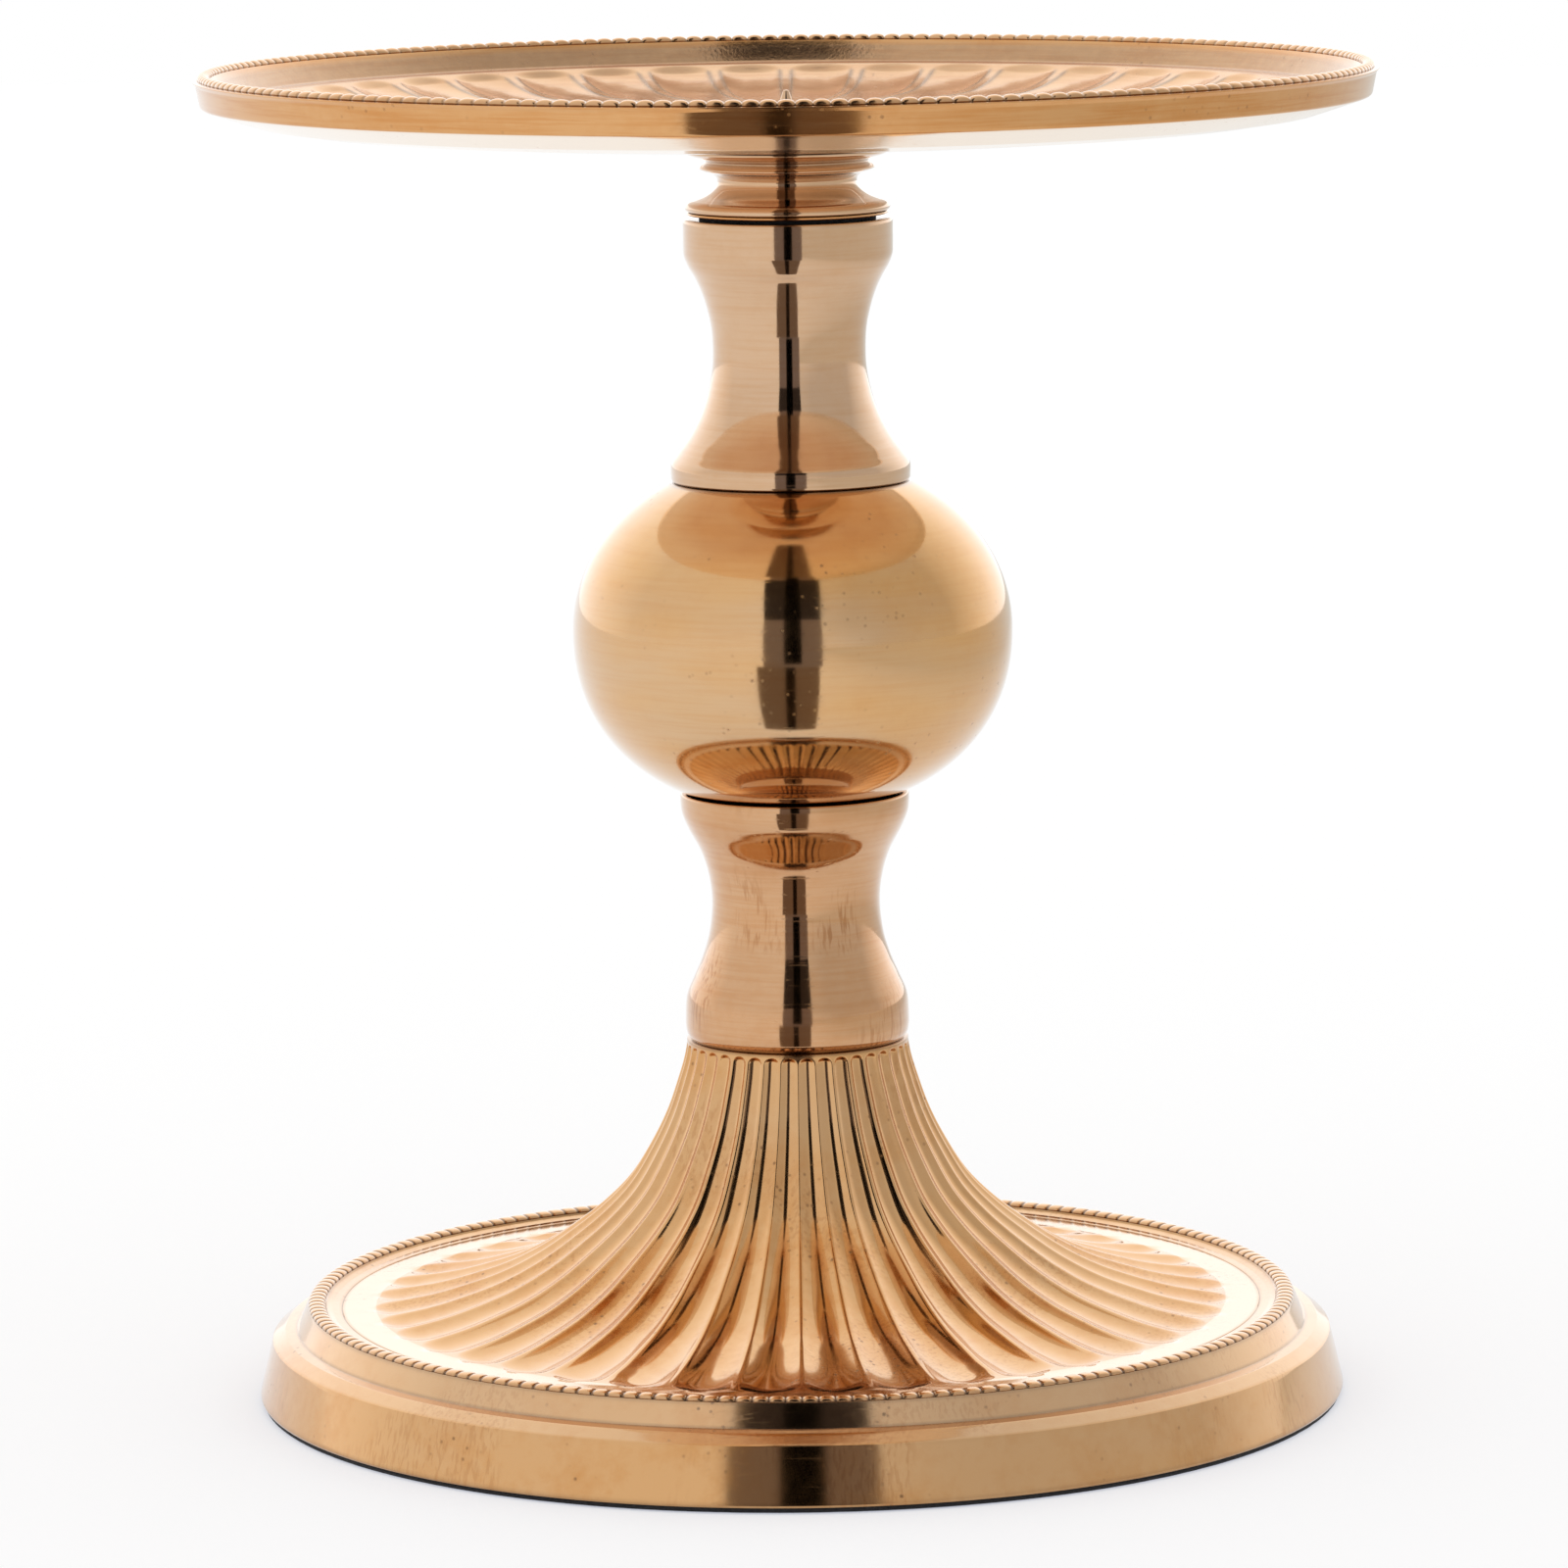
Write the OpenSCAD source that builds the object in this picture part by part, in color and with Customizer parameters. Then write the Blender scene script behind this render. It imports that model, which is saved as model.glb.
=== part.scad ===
// Pillar candle holder in cast and turned brass.
// A round fluted foot, a turned stem with a round knop and a shallow fluted dish.
// The origin is at the centre of the underside of the felt and +Z runs up the axis.
// Every length is in millimetres.

/* [View] */
// Which piece to show

/* [Foot] */
// Radius of the foot at its bottom edge
foot_r = 93.4; // [70:0.1:130]
// Height of the foot from its bottom edge to the seat of the lower stem
foot_h = 60.7; // [50:0.1:90]
// Height of the plain outer band
skirt_h = 9.8; // [6:0.1:13]
// How far the outer band leans in over its height
skirt_lean = 2.3; // [0:0.1:6]
// Width of the chamfer above the outer band
chamfer_w = 2.2; // [0.5:0.1:5]
// Height of that chamfer
chamfer_h = 1.6; // [0.5:0.1:4]
// Width of the ledge above the chamfer
ledge_w = 2.0; // [0.5:0.1:8]
// Rise of the ledge towards the middle
ledge_rise = 0.3; // [0.1:0.1:3]
// Width of the slope between the ledge and the beads
border_slope_w = 2.0; // [1:0.1:5]
// Height of the bead seat above the ledge
border_rise = 3.9; // [1:0.1:6]
// Width of the inner slope beside the beads
inner_slope_w = 2.7; // [1:0.1:5]
// Height of the bead seat above the flat ring
inner_slope_h = 0.8; // [0.1:0.1:2]
// Width of the flat ring outside the flutes
flat_ring_w = 5.5; // [2:0.1:10]
// Number of flutes
foot_flutes = 40; // [24:1:48]
// Depth of a flute at the top of the bell as a share of its width
foot_flute_depth_share = 0.185; // [0.1:0.005:0.28]
// Depth of a flute at the flat ring as a share of its width
foot_rim_depth_share = 0.1; // [0.05:0.005:0.2]
// Radius of the top of the foot, where the lower stem stands
bell_top_r = 19.0; // [14:0.1:26]
// Height of the plain ring above the flutes
bell_ring_h = 0.9; // [0.4:0.1:3]
// Wall of the casting at the outer band
foot_wall = 3.0; // [1.5:0.1:6]
// Thickness of the plate that the tie rod clamps
bell_plate_t = 9.5; // [7:0.1:14]

/* [Bead borders] */
// Number of beads on the foot
foot_beads = 196; // [80:1:260]
// Number of beads on the dish
tray_beads = 222; // [80:1:260]
// Width of the beads on the foot
foot_bead_w = 2.9; // [1.5:0.1:5]
// Height of the beads on the foot
foot_bead_h = 0.85; // [0.5:0.05:3]
// Width of the beads on the dish
tray_bead_w = 2.1; // [1.2:0.1:5]
// Height of the beads on the dish
tray_bead_h = 1.0; // [0.5:0.05:3]

/* [Felt and backing] */
// Thickness of the felt
felt_t = 0.8; // [0.5:0.1:3]
// How far the felt stays inside the edge of the foot
felt_inset = 0.4; // [0:0.1:3]
// Thickness of the disc that the felt is glued to
backing_t = 2.0; // [1:0.1:4]
// Gap between the backing disc and the casting
backing_gap = 0.3; // [0.1:0.05:1]

/* [Lower stem] */
// Height of the lower stem between its seats
lower_h = 42.1; // [30:0.1:70]
// Radius of the bulge at its bottom
lower_bulge_r = 19.2; // [16:0.1:26]
// Radius at its waist
lower_waist_r = 14.4; // [11:0.1:18]
// Radius of its top lip
lower_lip_r = 19.6; // [16:0.1:26]
// Radius of its bottom edge
lower_base_r = 18.5; // [15:0.1:26]

/* [Knop] */
// Height of the knop between its seats
knop_h = 53.9; // [40:0.1:80]
// Largest radius of the knop
knop_r = 37.5; // [28:0.1:50]
// Height of the widest place above the lower seat
knop_belly_h = 28.6; // [18:0.1:45]
// Radius of its lower seat
knop_foot_r = 17.2; // [14:0.1:24]
// Radius of its upper seat
knop_head_r = 20.6; // [14:0.1:24]
// Fullness of its lower half, where 2 is an oval
knop_fullness = 2.2; // [2:0.05:2.6]
// Wall of the hollow knop
knop_wall = 3.0; // [2:0.1:6]

/* [Upper stem] */
// Height of the upper stem between its seats
upper_h = 44.7; // [30:0.1:70]
// Radius of the lip at its bottom
upper_lip_r = 20.4; // [16:0.1:26]
// Radius at its waist
upper_waist_r = 13.0; // [11:0.1:18]
// Radius of the cup at its top
upper_cup_r = 17.8; // [15:0.1:24]
// Radius of the recess for the stack nut
nut_recess_r = 10.6; // [10.2:0.1:12]
// Depth of that recess
nut_recess_h = 5.2; // [5:0.1:6.5]

/* [Tie rod and fixings] */
// Radius of the tie rod
rod_r = 5.0; // [4:0.1:6]
// Clearance of the rod in the stem pieces
rod_gap = 0.3; // [0.1:0.05:0.8]
// Radius of the spigots that centre the stem pieces
spigot_r = 9.0; // [8:0.1:10.5]
// Length of those spigots
spigot_h = 4.0; // [2:0.1:6]
// Clearance round and below a spigot
spigot_gap = 0.1; // [0.05:0.05:0.4]
// Distance across the flats of both nuts
nut_af = 17.0; // [15:0.1:19]
// Height of the nut under the foot
clamp_nut_h = 8.0; // [5:0.1:10]
// Height of the thin nut in that recess
stack_nut_h = 4.9; // [4:0.1:4.9]
// Clearance of nuts and washers on the rod
nut_gap = 0.05; // [0.02:0.01:0.2]
// Radius of the washer under the foot plate
clamp_washer_r = 15.0; // [12:0.1:16]
// Thickness of that washer
clamp_washer_t = 2.0; // [1:0.1:3]
// Radius of the split lock washer
lock_washer_r = 8.6; // [7.5:0.1:10]
// Thickness of the lock washer
lock_washer_t = 2.2; // [1:0.1:3]
// Width of the split in the lock washer
lock_split_w = 0.8; // [0.3:0.1:2]
// Length of rod below the clamp nut
rod_tail = 3.0; // [1:0.1:8]
// Radius of the dark friction washer on top of the upper stem
friction_r = 15.0; // [12:0.1:16.5]
// Thickness of the friction washer
friction_t = 0.6; // [0.4:0.1:1.5]
// Radius of the thin disc between the friction washer and the collar
bearing_r = 17.2; // [13:0.1:17.4]
// Thickness of that disc
bearing_t = 0.5; // [0.3:0.1:1.5]
// Running clearance of the collar and the dish on the rod
running_gap = 0.08; // [0.02:0.01:0.1]

/* [Collar] */
// Height of the collar
collar_h = 10.5; // [8:0.1:16]
// Radius of its bottom flange
collar_flange_r = 17.35; // [15:0.05:22]
// Radius of its neck
collar_neck_r = 11.75; // [9:0.1:14]
// Radius of the small bead above the neck
collar_bead_r = 15.0; // [13:0.05:18]
// Radius of its top, where the dish sits
collar_top_r = 17.6; // [15:0.1:22]

/* [Dish] */
// Radius of the dish at its widest
tray_r = 100.0; // [80:0.5:125]
// Height of the dish from its hub to the seat of the beads
tray_h = 13.2; // [10.5:0.1:18]
// Height of the hub below the bottom of the rim
hub_drop = 8.2; // [7:0.1:10]
// Radius of the hub under the dish
hub_r = 17.7; // [16:0.1:24]
// Thickness of the hub
hub_t = 4.8; // [3:0.1:6]
// Radius of the plain disc in the middle of the dish
hub_disc_r = 21.0; // [18:0.1:30]
// How far the lip stands out beyond the band
lip_w = 0.5; // [0.2:0.05:2]
// Height of the lip
lip_h = 0.9; // [0.5:0.1:3]
// How far the band leans in towards its bottom
band_lean = 0.6; // [0:0.1:4]
// Radius of the rounded bottom corner of the band
band_corner_r = 1.0; // [0.3:0.1:2]
// Width of the flat seat left inside the beads
rim_margin = 0.2; // [0.1:0.1:2]
// How far the inner wall of the rim slopes in
rim_inner_lean = 4.2; // [0.5:0.1:6]
// Depth of the floor below the bead seat, at the rim
floor_drop = 4.0; // [2:0.1:5]
// Number of flutes in the dish
tray_flutes = 44; // [24:1:48]
// Depth of a flute as a share of its width
tray_flute_depth_share = 0.04; // [0.02:0.005:0.06]
// Least thickness of the dish below the flutes
tray_wall = 0.7; // [0.6:0.1:2]

/* [Pricket] */
// Radius of the cap that holds the dish down
cap_r = 9.0; // [7:0.1:14]
// Thickness of the cap at its edge
cap_t = 0.8; // [0.5:0.1:2]
// Height of the cap's crown above its edge
crown_h = 1.0; // [0.5:0.1:2]
// Height of the spike above the crown
spike_h = 3.2; // [2:0.1:12]
// Radius of the spike at its base
spike_r = 1.4; // [0.8:0.1:3]
// Radius of the blunt tip
tip_r = 0.45; // [0.2:0.05:1]
// Clearance between the cap and the dish
cap_gap = 0.15; // [0.05:0.05:0.5]
// Radius of the shank in the top of the rod
shank_r = 2.5; // [1.5:0.1:3]
// Length of the shank
shank_h = 12.0; // [6:0.1:20]
// Clearance of the shank in the rod
shank_gap = 0.05; // [0.02:0.01:0.2]

/* [Hidden] */
$fn = 96;
brass = [0.84, 0.62, 0.36];
pale_brass = [0.89, 0.71, 0.47];
steel = [0.62, 0.62, 0.60];
felt_black = [0.06, 0.06, 0.07];
board_brown = [0.45, 0.33, 0.22];
// How far a cutter runs past the face that it leaves
over = 0.5;
// How deep one solid sinks into another that it is cast in one with
weld = 0.6;

// Heights of the seats, from the bottom up
foot_z = felt_t;
lower_z = foot_z + foot_h;
knop_z = lower_z + lower_h;
upper_z = knop_z + knop_h;
stem_top_z = upper_z + upper_h;
stack_nut_z = stem_top_z - nut_recess_h;
bearing_z = stem_top_z + friction_t;
collar_z = bearing_z + bearing_t;
tray_z = collar_z + collar_h;
hub_top_z = tray_z + hub_t;
cap_z = hub_top_z + cap_gap;

// Foot radii and heights, from the edge inwards
skirt_top_r = foot_r - skirt_lean;
skirt_top_z = foot_z + skirt_h;
ledge_out_r = skirt_top_r - chamfer_w;
ledge_out_z = skirt_top_z + chamfer_h;
ledge_in_r = ledge_out_r - ledge_w;
ledge_in_z = ledge_out_z + ledge_rise;
foot_seat_out_r = ledge_in_r - border_slope_w;
foot_seat_z = ledge_in_z + border_rise;
foot_seat_in_r = foot_seat_out_r - foot_bead_w;
flat_ring_out_r = foot_seat_in_r - inner_slope_w;
flat_ring_z = foot_seat_z - inner_slope_h;
flute_end_r = flat_ring_out_r - flat_ring_w;

// Clamp stack under the foot plate
plate_z = lower_z - bell_plate_t;
clamp_washer_z = plate_z - clamp_washer_t;
lock_washer_z = clamp_washer_z - lock_washer_t;
clamp_nut_z = lock_washer_z - clamp_nut_h;
rod_z = clamp_nut_z - rod_tail;
nut_corner_r = nut_af / 2 / cos(30);

// Dish radii and heights
band_r = tray_r - lip_w;
seat_z = tray_z + tray_h;
band_bottom_z = tray_z + hub_drop;
band_bottom_r = band_r - band_lean;
under_out_r = band_bottom_r - band_corner_r;
tray_seat_out_r = band_r - lip_w / 2;
rim_in_r = tray_seat_out_r - tray_bead_w - rim_margin;
floor_r = rim_in_r - rim_inner_lean;
floor_z = seat_z - floor_drop;

// Smooth curve through control points, closed at neither end
curve_steps = 4;
function blend(a, b, c, d, t) = 0.5 * (2 * b + (c - a) * t + (2 * a - 5 * b + 4 * c - d) * t * t
  + (3 * b - a - 3 * c + d) * t * t * t);
function curve(p, n = curve_steps) = [for (i = [0 : len(p) - 2]) for (k = [0 : n - 1])
  blend(p[max(i - 1, 0)], p[i], p[i + 1], p[min(i + 2, len(p) - 1)], k / n), p[len(p) - 1]];
// Places given as shares between two radii and two heights
function between(shares, r0, r1, z0, z1) = [for (s = shares) [r0 + (r1 - r0) * s[0], z0 + (z1 - z0) * s[1]]];

// The ridges of the foot run along this line, from the flat ring to the top
ridge_shares = [[1, 0], [0.944, 0.006], [0.835, 0.030], [0.720, 0.067], [0.604, 0.118], [0.487, 0.187],
  [0.372, 0.276], [0.278, 0.366], [0.191, 0.475], [0.120, 0.602], [0.065, 0.731], [0.026, 0.860]];
ridge_line = between(ridge_shares, bell_top_r, flute_end_r, flat_ring_z, lower_z - bell_ring_h);
// The hollow under the foot follows the same line
hollow_shares = [[0.835, 0], [0.62, 0.055], [0.42, 0.165], [0.26, 0.37], [0.15, 0.56], [0.045, 0.80]];

// Places round one flute and how deep the flute is there
flute_places_share = [0, 0.17, 0.5, 0.83];
function flute_dip(u) = 1 - (2 * u - 1) * (2 * u - 1);
// How far the rounded end of a flute falls back beside a ridge
end_arc_share = 0.06;
// Width of the steep wall at the end of a flute
end_wall_share = 0.022;
// Depth of a flute where it begins and ends, as a share of its full depth
end_depth_share = 0.8;
// Top of the flutes below the seat and the rise of their rounded tops, as shares of the plain ring's height
flute_top_share = 2;
flute_top_arc_share = 0.6;
ring_edge_share = 1.4;
ring_edge_arc_share = 0.4;

function pitch_at(r, n) = 2 * PI * r / n;
function pull(p, q, depth) = let (d = q - p, l = norm(d)) [-d[1] / l * depth, d[0] / l * depth];
function foot_depth(r) = pitch_at(r, foot_flutes) * (foot_rim_depth_share
  + (foot_flute_depth_share - foot_rim_depth_share) * (flute_end_r - r) / (flute_end_r - bell_top_r));
function on_ring(p, a) = [p[0] * cos(a), p[0] * sin(a), p[1]];

// Closes rings of points, outermost first, into one solid
module ring_solid(rings) {
  n = len(rings[0]);
  m = len(rings);
  points = [for (ring = rings) each ring];
  sides = [for (k = [0 : m - 2]) for (i = [0 : n - 1]) let (j = (i + 1) % n, up = k + 1)
    each [[up * n + j, k * n + j, k * n + i], [up * n + i, up * n + j, k * n + i]]];
  bottom = [for (i = [0 : n - 1]) i];
  top = [for (i = [0 : n - 1]) m * n - 1 - i];
  polyhedron(points = points, faces = concat(sides, [bottom, top]), convexity = 12);
}

// Joins closed cross-sections that follow one another round the axis
module hoop(sections) {
  n = len(sections);
  m = len(sections[0]);
  points = [for (s = sections) each s];
  faces = [for (k = [0 : n - 1]) for (i = [0 : m - 1]) let (k2 = (k + 1) % n, i2 = (i + 1) % m)
    each [[k2 * m + i2, k * m + i2, k * m + i], [k2 * m + i, k2 * m + i2, k * m + i]]];
  polyhedron(points = points, faces = faces, convexity = 12);
}

// A half-round beaded wire, closed round the axis, with its flat side down
wire_places_share = [[-1, 0], [-0.72, 0.70], [0, 1], [0.72, 0.70], [1, 0]];
bead_neck_share = 0.74;
module bead_ring(mid_r, z, count, w, h) {
  hoop([for (i = [0 : 2 * count - 1])
    let (a = 180 * i / count, swell = i % 2 == 0 ? 1 : bead_neck_share)
    [for (p = wire_places_share) on_ring([mid_r + p[0] * w / 2, z + p[1] * h * swell], a)]]);
}

module turned(points) {
  rotate_extrude()
    polygon(points);
}

module tube(outer_r, inner_r, h, z) {
  translate([0, 0, z])
    difference() {
      cylinder(r = outer_r, h = h);
      translate([0, 0, -over])
        cylinder(r = inner_r, h = h + 2 * over);
    }
}

module bore(r, z0, z1) {
  translate([0, 0, z0 - over])
    cylinder(r = r, h = z1 - z0 + 2 * over);
}

module hex_nut(h, z) {
  translate([0, 0, z])
    difference() {
      cylinder(r = nut_corner_r, h = h, $fn = 6);
      translate([0, 0, -over])
        cylinder(r = rod_r + nut_gap, h = h + 2 * over);
    }
}

module felt_pad() {
  color(felt_black)
    cylinder(r = foot_r - felt_inset, h = felt_t);
}

module backing_disc() {
  color(board_brown)
    translate([0, 0, foot_z])
      cylinder(r = foot_r - foot_wall - skirt_lean * backing_t / skirt_h - backing_gap, h = backing_t);
}

// The fluted bell with its flat ring, solid down to a plane inside the border
module bell_body() {
  n = foot_flutes;
  arc = end_arc_share * flute_end_r;
  wall = end_wall_share * flute_end_r;
  angles = [for (i = [0 : n - 1]) for (u = flute_places_share) [360 * (i + u) / n, u]];
  edge_r = flat_ring_out_r + inner_slope_w / 2;
  base_z = flat_ring_z - weld * 3;
  last = len(ridge_line) - 1;
  rings = concat(
    [[for (a = angles) on_ring([edge_r, base_z], a[0])],
     [for (a = angles) on_ring([edge_r, flat_ring_z], a[0])],
     [for (a = angles) on_ring([flute_end_r - arc * (1 - flute_dip(a[1])), flat_ring_z], a[0])],
     [for (a = angles) let (dip = flute_dip(a[1]), d = foot_depth(flute_end_r) * dip)
       on_ring([flute_end_r - arc * (1 - dip) - wall * (1 + dip), flat_ring_z - d * end_depth_share], a[0])]],
    [for (k = [2 : last]) let (p = ridge_line[k], q = ridge_line[min(k + 1, last)], o = ridge_line[k - 1])
      [for (a = angles) let (d = foot_depth(p[0]) * flute_dip(a[1]))
        on_ring(p + pull(o, q, d), a[0])]],
    [[for (a = angles) let (d = foot_depth(bell_top_r) * flute_dip(a[1]))
       on_ring([bell_top_r - d * end_depth_share,
         lower_z - bell_ring_h * (flute_top_share - flute_top_arc_share * flute_dip(a[1]))], a[0])],
     [for (a = angles)
       on_ring([bell_top_r,
         lower_z - bell_ring_h * (ring_edge_share - ring_edge_arc_share * flute_dip(a[1]))], a[0])],
     [for (a = angles) on_ring([bell_top_r, lower_z], a[0])]]);
  ring_solid(rings);
}

// The border: outer band, chamfer, ledge, slope, seat of the beads and inner slope
module border_body() {
  turned([[flat_ring_out_r - weld, flat_ring_z - weld * 4], [flat_ring_out_r - weld, flat_ring_z - weld],
    [flat_ring_out_r, flat_ring_z], [foot_seat_in_r, foot_seat_z], [foot_seat_out_r, foot_seat_z],
    [ledge_in_r, ledge_in_z], [ledge_out_r, ledge_out_z], [skirt_top_r, skirt_top_z], [foot_r, foot_z],
    [foot_r - foot_wall, foot_z],
    [skirt_top_r - foot_wall, skirt_top_z - foot_wall / 2],
    [ledge_in_r - foot_wall, ledge_in_z - foot_wall / 2]]);
}

module foot_hollow() {
  shares = between(hollow_shares, bell_top_r, flute_end_r, flat_ring_z - foot_wall, plate_z);
  turned(concat([[0, foot_z - over], [foot_r - foot_wall, foot_z - over], [foot_r - foot_wall, foot_z],
    [skirt_top_r - foot_wall, skirt_top_z - foot_wall / 2],
    [ledge_in_r - foot_wall, flat_ring_z - foot_wall]],
    shares, [[clamp_washer_r + rod_gap * 4, plate_z], [0, plate_z]]));
}

module foot() {
  color(brass)
    difference() {
      union() {
        bell_body();
        border_body();
      }
      foot_hollow();
      bore(rod_r + rod_gap, plate_z, lower_z);
      translate([0, 0, lower_z - spigot_h - spigot_gap])
        cylinder(r = spigot_r + spigot_gap, h = spigot_h + spigot_gap + over);
    }
}

module foot_bead_ring() {
  color(pale_brass)
    bead_ring((foot_seat_out_r + foot_seat_in_r) / 2, foot_seat_z, foot_beads, foot_bead_w, foot_bead_h);
}

module clamp_washer() {
  color(steel)
    tube(clamp_washer_r, rod_r + nut_gap, clamp_washer_t, clamp_washer_z);
}

module lock_washer() {
  color(steel)
    difference() {
      tube(lock_washer_r, rod_r + nut_gap, lock_washer_t, lock_washer_z);
      translate([0, -lock_split_w / 2, lock_washer_z - over])
        cube([lock_washer_r + over, lock_split_w, lock_washer_t + 2 * over]);
    }
}

module clamp_nut() {
  color(steel)
    hex_nut(clamp_nut_h, clamp_nut_z);
}

module tie_rod() {
  color(steel)
    difference() {
      translate([0, 0, rod_z])
        cylinder(r = rod_r, h = cap_z - rod_z);
      bore(shank_r + shank_gap, cap_z - shank_h - spigot_h, cap_z);
    }
}

// Shares of the way from the base radius to the bulge, the waist and the lip
lower_bulge_shares = [[0, 0], [0.7, 0.16], [1, 0.40]];
lower_rise_shares = [[1, 0.20], [0.94, 0.315], [0.81, 0.391], [0.667, 0.441], [0.521, 0.504], [0.396, 0.567],
  [0.25, 0.651], [0.125, 0.756], [0.042, 0.861], [0, 1]];
lower_flare_shares = [[0, 0], [0.038, 0.148], [0.106, 0.257], [0.202, 0.366], [0.346, 0.475], [0.519, 0.585],
  [0.75, 0.694], [0.875, 0.76], [0.952, 0.825], [0.985, 0.885], [1, 0.956], [0.99, 1]];
lower_bulge_h_share = 0.15;
lower_waist_h_share = 0.565;
module lower_stem() {
  waist_z = lower_z + lower_h * lower_waist_h_share;
  low = between(lower_bulge_shares, lower_base_r, lower_bulge_r,
    lower_z, lower_z + lower_h * lower_bulge_h_share);
  rise = between(lower_rise_shares, lower_waist_r, lower_bulge_r, lower_z, waist_z);
  flare = between(lower_flare_shares, lower_waist_r, lower_lip_r, waist_z, knop_z);
  line = concat(low, rise, [for (i = [1 : len(flare) - 1]) flare[i]]);
  color(brass)
    difference() {
      union() {
        turned(concat([[0, lower_z]], curve(line), [[0, knop_z]]));
        translate([0, 0, lower_z - spigot_h])
          cylinder(r = spigot_r, h = lower_h + 2 * spigot_h);
      }
      bore(rod_r + rod_gap, lower_z - spigot_h, knop_z + spigot_h);
    }
}

// The outline of the knop, with one half-height below the belly and one above
knop_places = 12;
knop_top_fullness = 2;
// A point of the curve of fullness n that reaches end_r at height h, at the angle a
function oval(end_r, h, a, n) = let (full = h / pow(1 - pow(end_r / knop_r, n), 1 / n))
  [knop_r * pow(cos(a), 2 / n), full * pow(sin(a), 2 / n)];
function oval_end(end_r, n) = acos(pow(end_r / knop_r, n / 2));
function knop_line(cut) = let (low_a = oval_end(knop_foot_r, knop_fullness),
  high_a = oval_end(knop_head_r, knop_top_fullness), high_h = knop_h - knop_belly_h,
  belly_z = knop_z + knop_belly_h, k = (knop_r - cut) / knop_r)
  concat([for (i = [0 : knop_places])
      let (p = oval(knop_foot_r, knop_belly_h, low_a * (1 - i / knop_places), knop_fullness))
      [p[0] * k, belly_z - p[1] * k]],
    [for (i = [1 : knop_places])
      let (p = oval(knop_head_r, high_h, high_a * i / knop_places, knop_top_fullness))
      [p[0] * k, belly_z + p[1] * k]]);
module knop() {
  inner = knop_line(knop_wall);
  color(brass)
    difference() {
      turned(concat([[0, knop_z]], knop_line(0), [[0, upper_z]]));
      turned(concat([[0, inner[0][1]]], inner, [[0, inner[len(inner) - 1][1]]]));
      bore(spigot_r + spigot_gap, knop_z, upper_z);
    }
}

// Shares of the way from the waist to the lip and to the cup
upper_lip_shares = [[0.98, 0], [1, 0.03], [1, 0.12], [0.93, 0.167], [0.838, 0.21], [0.635, 0.298],
  [0.459, 0.386],
  [0.324, 0.474], [0.203, 0.57], [0.081, 0.715], [0.0135, 0.855], [0, 1]];
upper_cup_shares = [[0, 0], [0.01, 0.078], [0.042, 0.146], [0.104, 0.215], [0.25, 0.352], [0.458, 0.48],
  [0.729, 0.594], [0.854, 0.639], [0.9375, 0.685], [0.99, 0.73], [1, 0.763], [1, 0.99]];
upper_waist_h_share = 0.51;
module upper_stem() {
  waist_z = upper_z + upper_h * upper_waist_h_share;
  lip = between(upper_lip_shares, upper_waist_r, upper_lip_r, upper_z, waist_z);
  cup = between(upper_cup_shares, upper_waist_r, upper_cup_r, waist_z, stem_top_z);
  rim = cup[len(cup) - 1];
  line = curve(concat(lip, [for (i = [1 : len(cup) - 1]) cup[i]]));
  color(brass)
    difference() {
      union() {
        turned(concat([[0, upper_z]], line,
          [[rim[0] - (stem_top_z - rim[1]), stem_top_z], [0, stem_top_z]]));
        translate([0, 0, upper_z - spigot_h])
          cylinder(r = spigot_r, h = spigot_h + weld);
      }
      bore(rod_r + rod_gap, upper_z - spigot_h, stem_top_z);
      translate([0, 0, stack_nut_z])
        cylinder(r = nut_recess_r, h = nut_recess_h + over);
    }
}

module stack_nut() {
  color(steel)
    hex_nut(stack_nut_h, stack_nut_z);
}

module friction_washer() {
  color(felt_black)
    tube(friction_r, rod_r + nut_gap, friction_t, stem_top_z);
}

module bearing_washer() {
  color(pale_brass)
    tube(bearing_r, rod_r + nut_gap, bearing_t, bearing_z);
}

// Shares of the way out from the neck, and up the collar
collar_flange_shares = [[0.93, 0], [0.99, 0.02], [1, 0.06], [0.93, 0.13], [0.78, 0.171], [0.62, 0.205],
  [0.36, 0.265],
  [0.17, 0.325], [0.06, 0.389], [0, 0.481], [0.03, 0.556]];
collar_bead_shares = [[0.35, 0.63], [0.85, 0.671], [1, 0.70], [0.88, 0.75], [0.57, 0.806]];
collar_head_shares = [[0.42, 0.843], [0.56, 0.87], [0.863, 0.926], [0.966, 0.963], [1, 1]];
module collar() {
  line = concat(between(collar_flange_shares, collar_neck_r, collar_flange_r, collar_z, tray_z),
    between(collar_bead_shares, collar_neck_r, collar_bead_r, collar_z, tray_z),
    between(collar_head_shares, collar_neck_r, collar_top_r, collar_z, tray_z));
  color(pale_brass)
    difference() {
      turned(concat([[0, collar_z]], curve(line, 3), [[0, tray_z]]));
      bore(rod_r + running_gap, collar_z, tray_z);
    }
}

// The floor of the dish is nearly flat and rises steeply towards the rim
hub_step = hub_t / 24;
floor_shares = [[0, 0], [0.404, 0.076], [0.752, 0.141], [0.877, 0.283], [0.94, 0.554], [1, 1]];
floor_line = between(floor_shares, hub_disc_r, floor_r, hub_top_z - hub_step, floor_z);
function tray_ridge_z(r) = lookup(r, floor_line);
function tray_depth(r) = tray_flute_depth_share * pitch_at(r, tray_flutes);

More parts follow.
